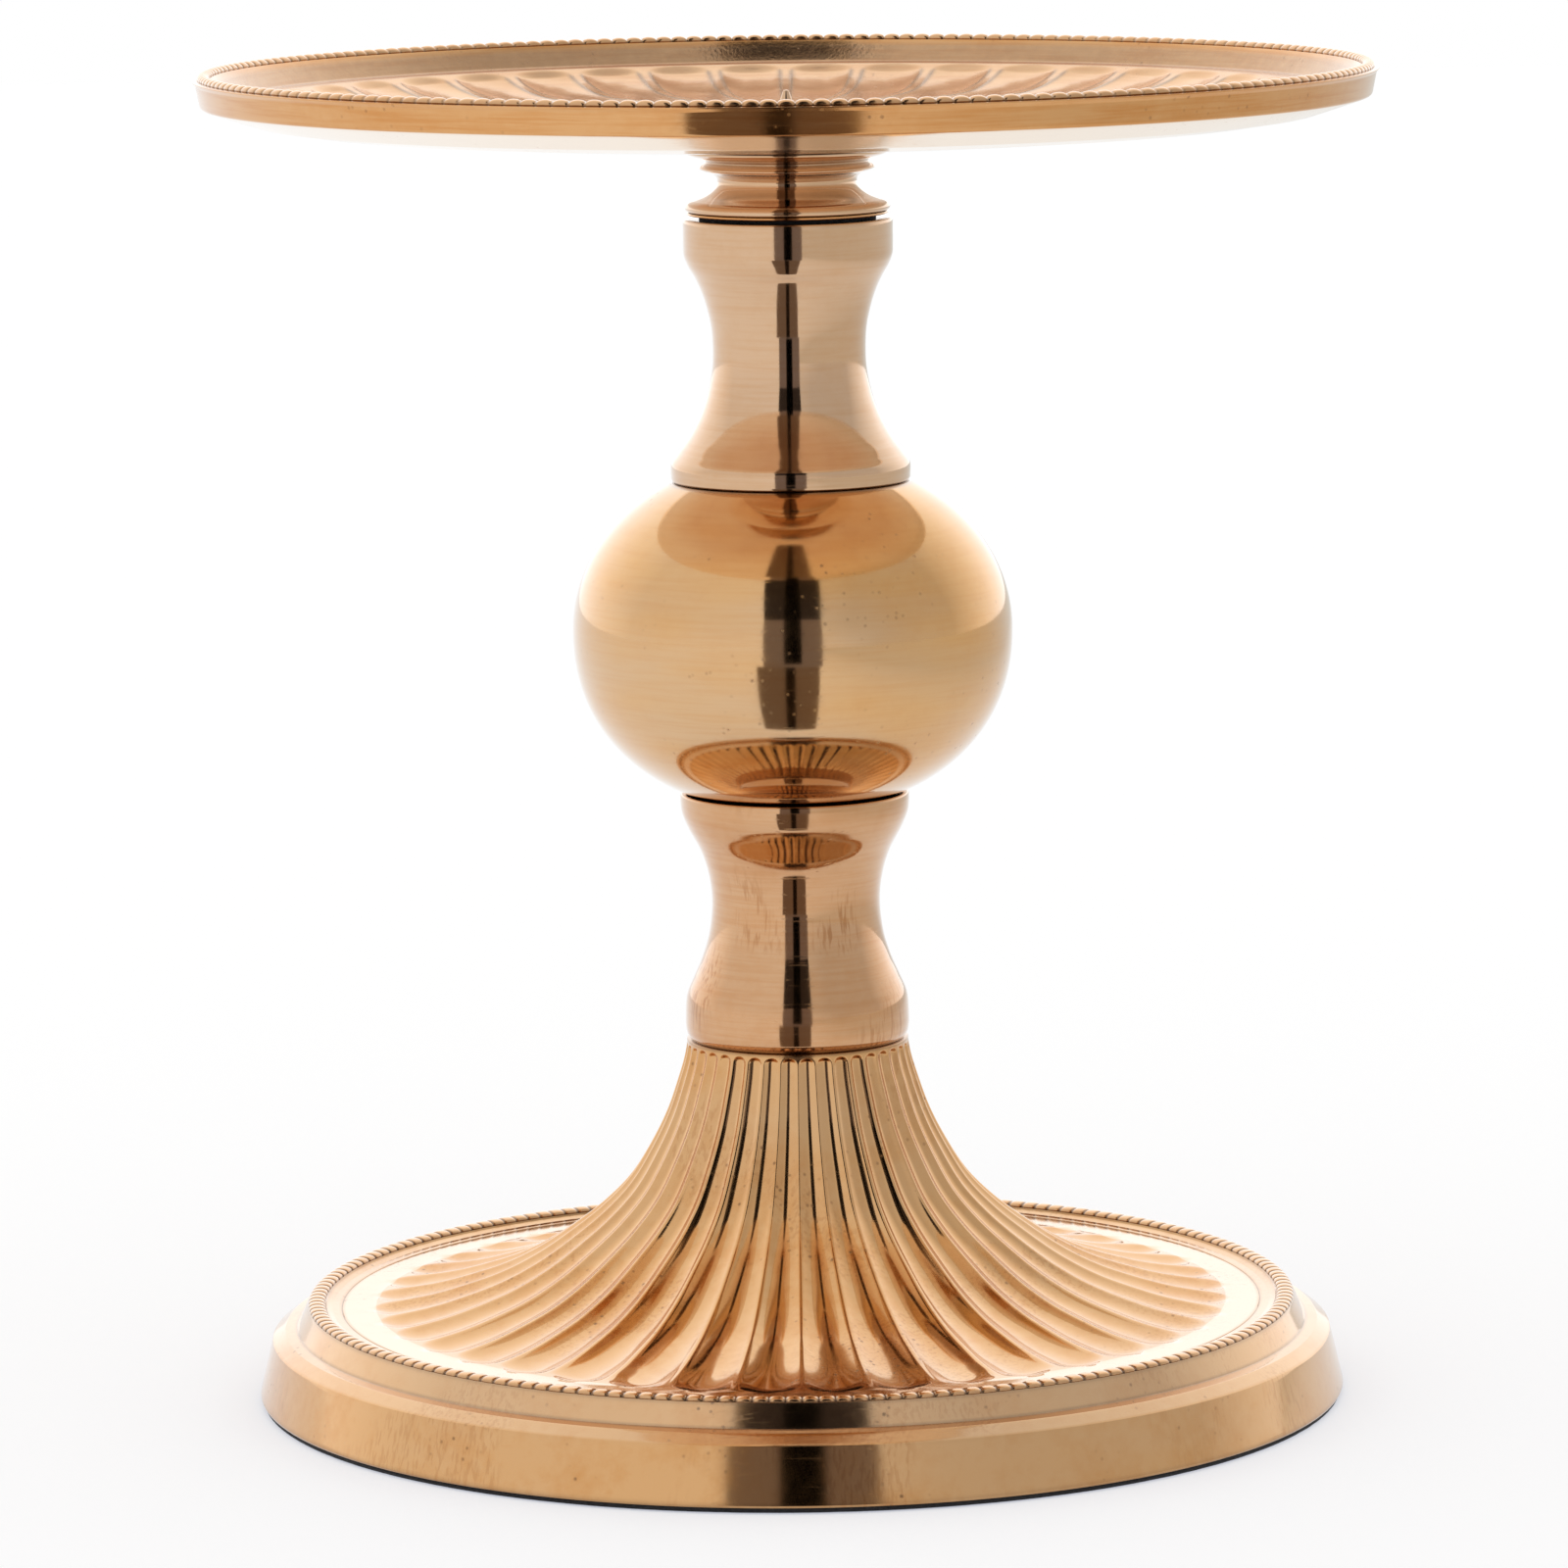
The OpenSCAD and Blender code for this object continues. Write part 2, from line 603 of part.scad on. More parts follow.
// The underside follows the floor, with the thickness in multiples of the least one
wall_shares = [[0.12, 3.8], [0.404, 2.65], [0.752, 1.15], [0.877, 1], [0.965, 2.6]];
seam_r = (hub_r + hub_disc_r) / 2;
seam_z = tray_z + hub_step * 1.5;
under_line = [for (w = wall_shares) let (r = hub_disc_r + (floor_r - hub_disc_r) * w[0])
  [r, tray_ridge_z(r) - tray_depth(r) - tray_wall * w[1]]];
function under_z(r) = lookup(r, concat([[seam_r, seam_z]], under_line, [[under_out_r, band_bottom_z]]));
// The line of the underside from the rim inwards, raised into the metal
function raised_line(rise) = [for (i = [len(under_line) - 1 : -1 : 0]) under_line[i] + [0, rise]];

// The flutes start just under the edge of the hub disc
flute_start_r = hub_disc_r - weld;
// Rings of the fluted floor, as shares of the way from there to the rim, with the depth there
floor_ring_shares = [[0, 0], [0.08, 1], [0.41, 1], [0.754, 1], [0.878, 1], [0.94, 0.95], [0.975, 0.7]];
slab_low_share = 0.28;
shell_top_share = 0.5;
function floor_point(s, depth_share) = let (r = flute_start_r + (floor_r - flute_start_r) * s)
  [r, tray_ridge_z(r) - tray_depth(r) * depth_share];
module fluted_floor() {
  n = tray_flutes;
  in_r = flute_start_r - weld;
  out_r = floor_r + weld;
  edge_r = floor_r - weld / 2;
  low = tray_wall * slab_low_share;
  hoop([for (i = [0 : n - 1]) for (u = flute_places_share)
    let (a = 360 * (i + u) / n, dip = flute_dip(u))
    concat([on_ring([in_r, under_z(in_r) + low], a), on_ring([in_r, tray_ridge_z(in_r)], a)],
      [for (s = floor_ring_shares) on_ring(floor_point(s[0], s[1] * dip), a)],
      [on_ring([edge_r, tray_ridge_z(edge_r)], a), on_ring([out_r, floor_z], a),
       on_ring([out_r, under_z(out_r) + low], a)],
      [for (p = raised_line(low)) on_ring(p, a)])]);
}

// Where the widest part of the lip begins and ends, as shares of its height from the seat down
lip_low_share = 0.35;
lip_high_share = 0.15;
module tray_shell() {
  rise = tray_wall * shell_top_share;
  wall_foot_z = under_z(floor_r) + rise;
  wall_foot_r = floor_r - rim_inner_lean * (floor_z - wall_foot_z) / floor_drop;
  corner = band_corner_r;
  turned(concat([[0, tray_z], [hub_r, tray_z], [seam_r, seam_z]], under_line,
    [[under_out_r, band_bottom_z], [under_out_r + corner * sin(45), band_bottom_z + corner * (1 - cos(45))],
     [band_bottom_r, band_bottom_z + corner], [band_r, seat_z - lip_h],
     [tray_r, seat_z - lip_h * lip_low_share], [tray_r, seat_z - lip_h * lip_high_share],
     [tray_seat_out_r, seat_z], [rim_in_r, seat_z], [wall_foot_r, wall_foot_z]],
    raised_line(rise),
    [[hub_disc_r, under_z(hub_disc_r) + rise], [hub_disc_r, hub_top_z], [0, hub_top_z]]));
}

module tray() {
  color(brass)
    difference() {
      union() {
        tray_shell();
        fluted_floor();
      }
      bore(rod_r + running_gap, tray_z, hub_top_z);
    }
}

module tray_bead_ring() {
  color(pale_brass)
    bead_ring(tray_seat_out_r - tray_bead_w / 2, seat_z, tray_beads, tray_bead_w, tray_bead_h);
}

module pricket() {
  color(pale_brass) {
    turned([[0, cap_z - shank_h], [shank_r, cap_z - shank_h], [shank_r, cap_z], [cap_r, cap_z],
      [cap_r, cap_z + cap_t],
      [spike_r, cap_z + cap_t + crown_h], [tip_r, cap_z + cap_t + crown_h + spike_h],
      [0, cap_z + cap_t + crown_h + spike_h]]);
  }
}

felt_pad();
backing_disc();
foot();
foot_bead_ring();
clamp_washer();
lock_washer();
clamp_nut();
tie_rod();
lower_stem();
knop();
upper_stem();
stack_nut();
friction_washer();
bearing_washer();
collar();
tray();
tray_bead_ring();
pricket();
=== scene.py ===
import math

import bpy
import numpy as np
from mathutils import Matrix, Vector


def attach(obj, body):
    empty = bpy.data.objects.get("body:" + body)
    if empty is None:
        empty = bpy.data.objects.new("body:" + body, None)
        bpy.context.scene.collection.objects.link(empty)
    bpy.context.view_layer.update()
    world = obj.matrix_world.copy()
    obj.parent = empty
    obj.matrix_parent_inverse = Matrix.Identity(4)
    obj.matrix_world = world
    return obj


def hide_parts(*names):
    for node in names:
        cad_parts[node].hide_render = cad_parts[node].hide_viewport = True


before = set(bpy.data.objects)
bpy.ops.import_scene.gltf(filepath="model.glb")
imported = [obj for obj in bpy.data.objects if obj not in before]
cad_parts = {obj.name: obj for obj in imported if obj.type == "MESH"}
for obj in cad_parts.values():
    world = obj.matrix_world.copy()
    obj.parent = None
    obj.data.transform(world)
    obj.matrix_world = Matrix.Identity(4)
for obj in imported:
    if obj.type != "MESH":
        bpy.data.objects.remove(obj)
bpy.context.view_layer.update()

# Outlines are lists of (radius, height) round the stem's axis, in mm. Only skin() turns them into metres.
MM = 0.001
# The first field darkens the metal: tarnishing at the joints, and painted shade in gaps, grooves and hollows. The
# third paints a highlight: a paler colour where the metal mirrors bright light.
FIELDS = ("patina", "stipple", "pale", "dull")
# The smallest radius of an edge, and the step that keeps two lines from meeting in one point.
HAIR = 0.05

# Measures that the outlines share with the solids, in mm.
ROD_HOLE_R = 5.3
PLATE_BORE_R = 5.09
SPIGOT_R = 9.0
SOCKET_R = 9.1
FOOT_TOP_Z = 61.5
KNOP_LOW_Z = 103.62
KNOP_HIGH_Z = 157.48
CUP_TOP_Z = 202.18
COLLAR_LOW_Z, COLLAR_HIGH_Z = 203.32, 213.78


# Lines.

def spline(pts, per):
    """A smooth curve through pts, with per places from each of them to the next."""
    p = np.array(pts, float)
    ends = np.vstack([2 * p[0] - p[1], p, 2 * p[-1] - p[-2]])
    out = []
    for i in range(len(p) - 1):
        a, b, c, d = ends[i:i + 4]
        knots = [0.0]
        for v, w in ((a, b), (b, c), (c, d)):
            knots.append(knots[-1] + max(np.linalg.norm(w - v), 1e-6) ** 0.5)
        ta, tb, tc, td = knots
        for t in np.linspace(tb, tc, per, endpoint=False):
            a1 = (tb - t) / (tb - ta) * a + (t - ta) / (tb - ta) * b
            a2 = (tc - t) / (tc - tb) * b + (t - tb) / (tc - tb) * c
            a3 = (td - t) / (td - tc) * c + (t - tc) / (td - tc) * d
            b1 = (tc - t) / (tc - ta) * a1 + (t - ta) / (tc - ta) * a2
            b2 = (td - t) / (td - tb) * a2 + (t - tb) / (td - tb) * a3
            out.append((tc - t) / (tc - tb) * b1 + (t - tb) / (tc - tb) * b2)
    out.append(p[-1])
    return [tuple(v) for v in out]


def rounded(pts, steps):
    """A line of (r, z, radius) with its corners rounded. Each takes at most MOST_CUT of the sides beside it."""
    # STRAIGHT is half the angle of a corner that counts as none, in radians.
    MOST_CUT, STRAIGHT = 0.45, 1.56
    out = []
    for i, (r, z, radius) in enumerate(pts):
        if radius <= 0 or i in (0, len(pts) - 1):
            out.append((r, z))
            continue
        p = np.array([r, z])
        a = np.array(pts[i - 1][:2]) - p
        b = np.array(pts[i + 1][:2]) - p
        la, lb = np.linalg.norm(a), np.linalg.norm(b)
        a, b = a / la, b / lb
        half = math.acos(max(-1, min(1, float(a @ b)))) / 2
        if half > STRAIGHT:
            out.append((r, z))
            continue
        cut = min(radius / math.tan(half), la * MOST_CUT, lb * MOST_CUT)
        p0, p1 = p + a * cut, p + b * cut
        for k in range(steps + 1):
            t = k / steps
            out.append(tuple((1 - t) ** 2 * p0 + 2 * t * (1 - t) * p + t * t * p1))
    return out


def dense(pts, step):
    """The same line with no stretch longer than step."""
    out = [pts[0]]
    for a, b in zip(pts, pts[1:]):
        n = max(1, int(math.ceil(math.hypot(b[0] - a[0], b[1] - a[1]) / step)))
        for k in range(1, n + 1):
            out.append((a[0] + (b[0] - a[0]) * k / n, a[1] + (b[1] - a[1]) * k / n))
    return out


def resample(line, gaps):
    """Takes the line at distances along it that gaps(r, z) sets."""
    p = np.array(line)
    s = np.concatenate([[0], np.cumsum(np.hypot(*np.diff(p, axis=0).T))])
    out, at = [], 0.0
    while at < s[-1]:
        q = (np.interp(at, s, p[:, 0]), np.interp(at, s, p[:, 1]))
        out.append(q)
        at += gaps(*q)
    out.append(tuple(p[-1]))
    return out


def smoothstep(x):
    x = np.clip(x, 0, 1)
    return x * x * (3 - 2 * x)


def soft_positive(x, k):
    """x where it is above 0, else 0, with a bend about k wide between them."""
    return 0.5 * (x + np.sqrt(x * x + k * k)) - 0.5 * k


def near(x, at, reach):
    """1 where x is at, falling off to 0 over a few times reach."""
    return np.exp(-((x - at) / reach) ** 2)


# Meshes.

class Rings:
    """Rings of points round the axis, one after the other along an outline, with their fields."""

    def __init__(self, places):
        self.angle = np.arange(places) * 2 * math.pi / places
        self.grid = []
        self.fields = {key: [] for key in FIELDS}

    def add(self, r, z, **fields):
        """Adds a ring. Every value is one number, or one for each place round the axis."""
        flat = np.ones(len(self.angle))
        self.grid.append(np.stack([r * np.cos(self.angle), r * np.sin(self.angle), z * flat], 1))
        for key in FIELDS:
            self.fields[key].append(fields.get(key, 0.0) * flat)

    def skin(self, name, loop=True):
        """A mesh over the rings. loop joins the last ring to the first."""
        grid = np.asarray(self.grid, float)
        m, n, _ = grid.shape
        verts = grid.reshape(-1, 3) * MM
        i = np.arange(m if loop else m - 1)[:, None]
        j = np.arange(n)[None, :]
        this_ring, next_ring, ahead = i * n, (i + 1) % m * n, (j + 1) % n
        corners = (this_ring + j, this_ring + ahead, next_ring + ahead, next_ring + j)
        quads = np.stack([corner.ravel() for corner in corners], 1)
        me = bpy.data.meshes.new(name)
        me.vertices.add(len(verts))
        me.vertices.foreach_set("co", verts.ravel())
        me.loops.add(len(quads) * 4)
        me.loops.foreach_set("vertex_index", quads.ravel())
        me.polygons.add(len(quads))
        me.polygons.foreach_set("loop_start", np.arange(len(quads)) * 4)
        me.polygons.foreach_set("use_smooth", np.ones(len(quads), bool))
        me.update(calc_edges=True)
        me.validate()
        for key in FIELDS:
            me.attributes.new(key, "FLOAT", "POINT").data.foreach_set("value", np.ravel(self.fields[key]))
        ob = bpy.data.objects.new(name, me)
        bpy.context.scene.collection.objects.link(ob)
        return ob


def lathe(name, line, seams, places=288, loop=True):
    """A turned piece. seams lists (height, reach, strength) of dark bands: tarnishing at the joints, and painted
    shade in the gaps and corners between parts.
    """
    rings = Rings(places)
    for r, z in line:
        rings.add(r, z, patina=max(strength * near(z, at, reach) for at, reach, strength in seams))
    return rings.skin(name, loop)


def off_middle(flutes, per):
    """How far each place round the axis is from the middle of its flute or bead, 0 to 1."""
    return np.abs(2 * (np.arange(flutes * per) % per) / per - 1)


def beads(name, mid_r, z, width, height, count, groove, fullness, dark):
    """A beaded wire: beads side by side, parted by grooves that leave a share of the height."""
    PER, ACROSS, GROOVE_WIDTH, ROUNDNESS = 12, 14, 0.86, 0.8
    rings = Rings(count * PER)
    off = off_middle(count, PER)
    full = np.sqrt(np.clip(1 - off ** fullness, 0, 1))
    for k in range(ACROSS + 1):
        turn = math.pi * k / ACROSS
        up = math.sin(turn) ** ROUNDNESS
        # The grooves between beads are darkened with tarnishing and painted shade, and the foot of the wire, where
        # it sits on the metal, with painted shade.
        rings.add(mid_r - math.cos(turn) * width / 2 * (GROOVE_WIDTH + (1 - GROOVE_WIDTH) * full),
                  z + up * height * (groove + (1 - groove) * full),
                  patina=np.clip(dark * smoothstep((off - 0.6) / 0.4) + 0.5 * (1 - up) ** 2, 0, 1))
    return rings.skin(name)


def flute(off, ridge, power, bend):
    """Across a flute: the share of its width, its depth from 0 to 1, and how far its round end draws back."""
    across = off / (1 - ridge)
    depth = soft_positive(1 - np.minimum(across, 1.6) ** power, bend)
    drawn_back = 1 - np.sqrt(np.clip(1 - np.minimum(across, 1) ** 2, 0, 1))
    return across, depth, drawn_back


# Materials.

class Nodes:
    """The node tree of a material or of the world. Sockets and plain numbers both serve as inputs."""

    def __init__(self, owner):
        owner.use_nodes = True
        self.tree = owner.node_tree
        self.named = owner.node_tree.nodes

    def add(self, kind, **props):
        nd = self.tree.nodes.new(kind)
        for k, v in props.items():
            setattr(nd, k, v)
        return nd

    def set(self, socket, value):
        if isinstance(value, (int, float)):
            socket.default_value = value
        elif isinstance(value, tuple):
            socket.default_value = value + (1,) * (len(socket.default_value) - len(value))
        else:
            self.tree.links.new(value, socket)

    def math(self, op, *values, clamp=False):
        nd = self.add("ShaderNodeMath", operation=op, use_clamp=clamp)
        for socket, value in zip(nd.inputs, values):
            self.set(socket, value)
        return nd.outputs[0]

    def times(self, a, b, clamp=False):
        return self.math("MULTIPLY", a, b, clamp=clamp)

    def plus(self, a, b):
        return self.math("ADD", a, b)

    def one_minus(self, a):
        return self.math("SUBTRACT", 1.0, a)

    def mix(self, share, a, b):
        nd = self.add("ShaderNodeMix", data_type="RGBA", blend_type="MIX")
        for socket, value in ((nd.inputs[0], share), (nd.inputs[6], a), (nd.inputs[7], b)):
            self.set(socket, value)
        return nd.outputs[2]

    def ramp(self, value, low, high, to_low=0.0, to_high=1.0):
        nd = self.add("ShaderNodeMapRange", clamp=True)
        for socket, v in zip(nd.inputs, (value, low, high, to_low, to_high)):
            self.set(socket, v)
        return nd.outputs[0]

    def noise(self, place, scale, detail, rough):
        nd = self.add("ShaderNodeTexNoise")
        for key, v in (("Vector", place), ("Scale", scale), ("Detail", detail), ("Roughness", rough)):
            self.set(nd.inputs[key], v)
        return nd.outputs[0]

    def mapped(self, place, scale, **moved):
        """place stretched by scale, and turned or shifted where moved names Rotation or Location."""
        nd = self.add("ShaderNodeMapping")
        for key, v in (("Vector", place), ("Scale", scale), *moved.items()):
            self.set(nd.inputs[key], v)
        return nd.outputs[0]

    def place(self, kind="Object"):
        return self.add("ShaderNodeTexCoord").outputs[kind]

    def split(self, vector):
        nd = self.add("ShaderNodeSeparateXYZ")
        self.set(nd.inputs[0], vector)
        return nd.outputs

    def field(self, name):
        return self.add("ShaderNodeAttribute", attribute_name=name).outputs["Fac"]

    def bump(self, height, distance, strength=1.0):
        nd = self.add("ShaderNodeBump")
        for key, v in (("Strength", strength), ("Distance", distance), ("Height", height)):
            self.set(nd.inputs[key], v)
        return nd.outputs[0]


def material(name, **inputs):
    """A new material with its nodes. inputs sets the surface, with _ for the spaces in a name."""
    mt = bpy.data.materials.new(name)
    nt = Nodes(mt)
    surface(nt, **inputs)
    return mt, nt


def surface(nt, **inputs):
    for key, value in inputs.items():
        nt.set(nt.named["Principled BSDF"].inputs[key.replace("_", " ")], value)


# Dark colour of tarnishing at the joints, and painted shade in gaps, grooves and hollows.
DARK_TARNISH_AND_SHADE = (0.10, 0.045, 0.016)
VEIL = (0.66, 0.44, 0.25)
WORN = (0.42, 0.17, 0.045)
PIT = (0.22, 0.10, 0.035)
# Painted highlight: a paler brass where the metal mirrors the bright floor and lights.
PAINTED_HIGHLIGHT_COLOUR = (0.93, 0.82, 0.68)
MOTTLE_TINT = (0.90, 0.74, 0.50)
STREAK_TINT = (0.86, 0.66, 0.38)
# Angle, stretch along the scratch and seed of each family of hairline scratches.
SCRATCHES = ((0.5, 60, 1.0), (1.9, 45, 7.0), (2.7, 80, 13.0))


def brass(name, base, rough=0.09, marks=0.35, mottle=0.3, pits=0.0, scratches=0.3, cast=False, coat=1.0,
          streaks=0.0, veil=0.0, rubbed=0.0):
    """Polished brass with turning marks, mottling, streaks, dark seams of tarnishing and painted shade, a painted
    highlight, pits, scratches and rubbed places.
    """
    mt, nt = material(name, Metallic=1.0, Coat_Weight=coat, Coat_Roughness=0.06)
    place = nt.place()
    x, y, z = nt.split(place)
    profile = nt.add("ShaderNodeCombineXYZ")
    nt.set(profile.inputs[0], nt.math("SQRT", nt.plus(nt.times(x, x), nt.times(y, y))))
    nt.set(profile.inputs[2], z)
    fine_marks = nt.noise(profile.outputs[0], 5200, 3.0, 0.6)
    broad_marks = nt.noise(profile.outputs[0], 700, 2.0, 0.5)
    cloud = nt.noise(place, 48, 5.0, 0.62)
    fine = nt.noise(place, 420, 4.0, 0.6)

    blotch = nt.ramp(nt.plus(nt.times(cloud, 0.7), nt.times(fine, 0.3)), 0.46, 0.64)
    color = nt.mix(nt.times(blotch, mottle), base, tuple(c * k for c, k in zip(base, MOTTLE_TINT)))
    if veil:
        film = nt.ramp(nt.noise(nt.mapped(place, (14, 14, 46)), 1.0, 3.0, 0.55), 0.42, 0.62)
        color = nt.mix(nt.times(film, veil), color, VEIL)
    if streaks:
        brushed = nt.ramp(nt.noise(nt.mapped(place, (55, 55, 1500)), 1.0, 4.0, 0.6), 0.44, 0.66)
        color = nt.mix(nt.times(brushed, streaks), color, tuple(c * k for c, k in zip(base, STREAK_TINT)))
    # Darkening from the first field: tarnishing at the joints, and painted shade in gaps, grooves and hollows.
    shade_and_tarnish_mask = nt.times(nt.field("patina"), nt.ramp(fine, 0.2, 0.6, 0.75, 1.0), clamp=True)
    color = nt.mix(shade_and_tarnish_mask, color, DARK_TARNISH_AND_SHADE)
    height = nt.plus(nt.times(fine_marks, marks), nt.times(broad_marks, marks * 1.5))
    grey = nt.plus(nt.plus(rough, nt.times(blotch, 0.05)), nt.times(shade_and_tarnish_mask, 0.1))
    grey = nt.plus(grey, nt.times(fine_marks, 0.04 * marks))

    if rubbed:
        strokes = nt.mapped(place, (1500, 1500, 160), Rotation=(0.0, 0.45, 0.0))
        strokes = nt.ramp(nt.noise(strokes, 1.0, 2.0, 0.5), 0.50, 0.62)
        spots = nt.ramp(nt.noise(place, 42, 1.0, 0.5), 0.52, 0.60, 0.0, rubbed)
        color = nt.mix(nt.times(strokes, spots), color, WORN)

    if scratches:
        for angle, stretch, seed in SCRATCHES:
            along = nt.mapped(place, (stretch, 2600, 1800), Location=(seed, seed * 0.3, -seed),
                              Rotation=(0.3 * seed, 0.2 * seed, angle))
            line = nt.ramp(nt.noise(along, 1.0, 1.0, 0.4), 0.70, 0.76)
            height = nt.math("SUBTRACT", height, nt.times(line, scratches))
            grey = nt.plus(grey, nt.times(line, 0.08 * scratches))

    if pits:
        cells = nt.add("ShaderNodeTexVoronoi")
        nt.set(cells.inputs["Vector"], place)
        nt.set(cells.inputs["Scale"], 520)
        spot = nt.times(nt.ramp(cells.outputs["Distance"], 0.22, 0.08), nt.ramp(cloud, 0.52, 0.62))
        color = nt.mix(nt.times(spot, pits), color, PIT)
        grey = nt.plus(grey, nt.times(spot, 0.25))

    if cast:
        # Painted highlight: a paler colour from the third field where the metal mirrors bright light.
        color = nt.mix(nt.field("pale"), color, PAINTED_HIGHLIGHT_COLOUR)
        dull, stipple = nt.field("dull"), nt.field("stipple")
        grey = nt.plus(nt.plus(grey, nt.times(dull, 0.36)), nt.times(stipple, 0.04))
        surface(nt, Coat_Weight=nt.times(nt.one_minus(dull), coat))
        grain = nt.noise(place, 1500, 2.0, 0.5)
        height = nt.plus(height, nt.times(nt.times(grain, stipple), 9.0))

    surface(nt, Normal=nt.bump(height, 0.0000045, 0.6), Base_Color=color, Roughness=grey)
    return mt


def plated_steel():
    mt, nt = material("zinc_steel", Metallic=1.0)
    place = nt.place()
    cloud = nt.ramp(nt.noise(place, 180, 4.0, 0.6), 0.4, 0.65)
    streak = nt.noise(nt.mapped(place, (300, 300, 2500)), 1.0, 2.0, 0.5)
    surface(nt, Base_Color=nt.mix(cloud, (0.62, 0.62, 0.59), (0.48, 0.49, 0.47)),
            Roughness=nt.plus(0.28, nt.times(streak, 0.2)), Normal=nt.bump(streak, 0.00001))
    return mt


def felt():
    mt, nt = material("dark_felt", Roughness=0.95, Sheen_Weight=0.1)
    place = nt.place()
    fibre = nt.noise(nt.mapped(place, (1800, 900, 2400)), 1.0, 5.0, 0.7)
    patch = nt.ramp(nt.noise(place, 90, 3.0, 0.5), 0.4, 0.7, 0.0, 0.3)
    color = nt.mix(nt.ramp(fibre, 0.35, 0.7), (0.006, 0.006, 0.008), (0.03, 0.03, 0.036))
    surface(nt, Base_Color=nt.mix(patch, color, (0.016, 0.015, 0.016)), Normal=nt.bump(fibre, 0.0001))
    return mt


def board():
    mt, nt = material("fibre_board", Roughness=0.85)
    chips = nt.noise(nt.mapped(nt.place(), (500, 260, 500)), 1.0, 4.0, 0.6)
    surface(nt, Base_Color=nt.mix(nt.ramp(chips, 0.35, 0.65), (0.20, 0.12, 0.06), (0.32, 0.21, 0.12)),
            Normal=nt.bump(chips, 0.0002))
    return mt


CAST = brass("cast_brass", base=(0.67, 0.375, 0.155), mottle=0.75, marks=0.12, pits=0.7, scratches=0.6, cast=True,
             coat=0.6, veil=0.3, rubbed=0.3)
DISH = brass("dish_brass", base=(0.70, 0.375, 0.15), mottle=0.5, marks=0.2, pits=0.4, scratches=0.4, cast=True,
             coat=0.5, streaks=0.6)
TURNED = brass("turned_brass", base=(0.65, 0.42, 0.25), scratches=0.4, streaks=0.25, rough=0.06)
LOWER = brass("lower_brass", base=(0.63, 0.345, 0.165), mottle=0.6, marks=0.4, scratches=1.4, streaks=0.35,
              rough=0.06, veil=0.3, rubbed=0.75)
SPUN = brass("spun_brass", base=(0.70, 0.39, 0.14), mottle=0.35, marks=0.25, scratches=0.5, rough=0.06, pits=0.35,
             streaks=0.17, veil=0.75)
BEAD = brass("bead_brass", base=(0.72, 0.41, 0.19), mottle=0.35, marks=0.0, scratches=0.0, rough=0.13)
STEEL = plated_steel()
FIBRE_AND_GAP_SHADE = felt()
FELT = felt()
BOARD = board()


def dress(ob, mat, node, body):
    ob.data.materials.clear()
    ob.data.materials.append(mat)
    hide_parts(node)
    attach(ob, body)


# Foot: the plain band, ledge, bead seat and flat ring of its border, then the fluted bell, then the hollow.

